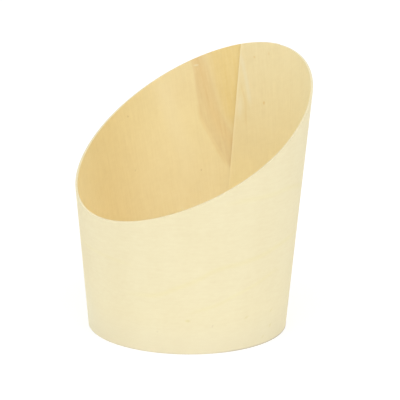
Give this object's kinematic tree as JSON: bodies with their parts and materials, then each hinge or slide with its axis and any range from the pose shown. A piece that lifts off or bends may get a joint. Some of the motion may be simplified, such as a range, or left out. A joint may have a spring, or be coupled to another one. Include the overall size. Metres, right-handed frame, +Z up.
{
  "type": "disposable wooden cup",
  "caption": "Open cup rolled from thin wood veneer with a lapped seam, a slanted rim and a glued-in round bottom, for serving snacks or chips.",
  "frame": {"origin": "on the axis of the cone, in the plane of the foot that the cup stands on", "axes": "+Z up along the cone's axis, +Y towards the high side of the rim, +X to the right of it seen from the low side"},
  "size_m": [0.0733, 0.0738, 0.085],
  "materials": {
    "veneer": "plain rotary-cut veneer, unsealed, matt",
    "base_wood": "plain thin wood disc, unsealed, matt"
  },
  "bodies": {
    "root": {"veneer_wall": "veneer", "base_disc": "base_wood"}
  },
  "joints": []
}
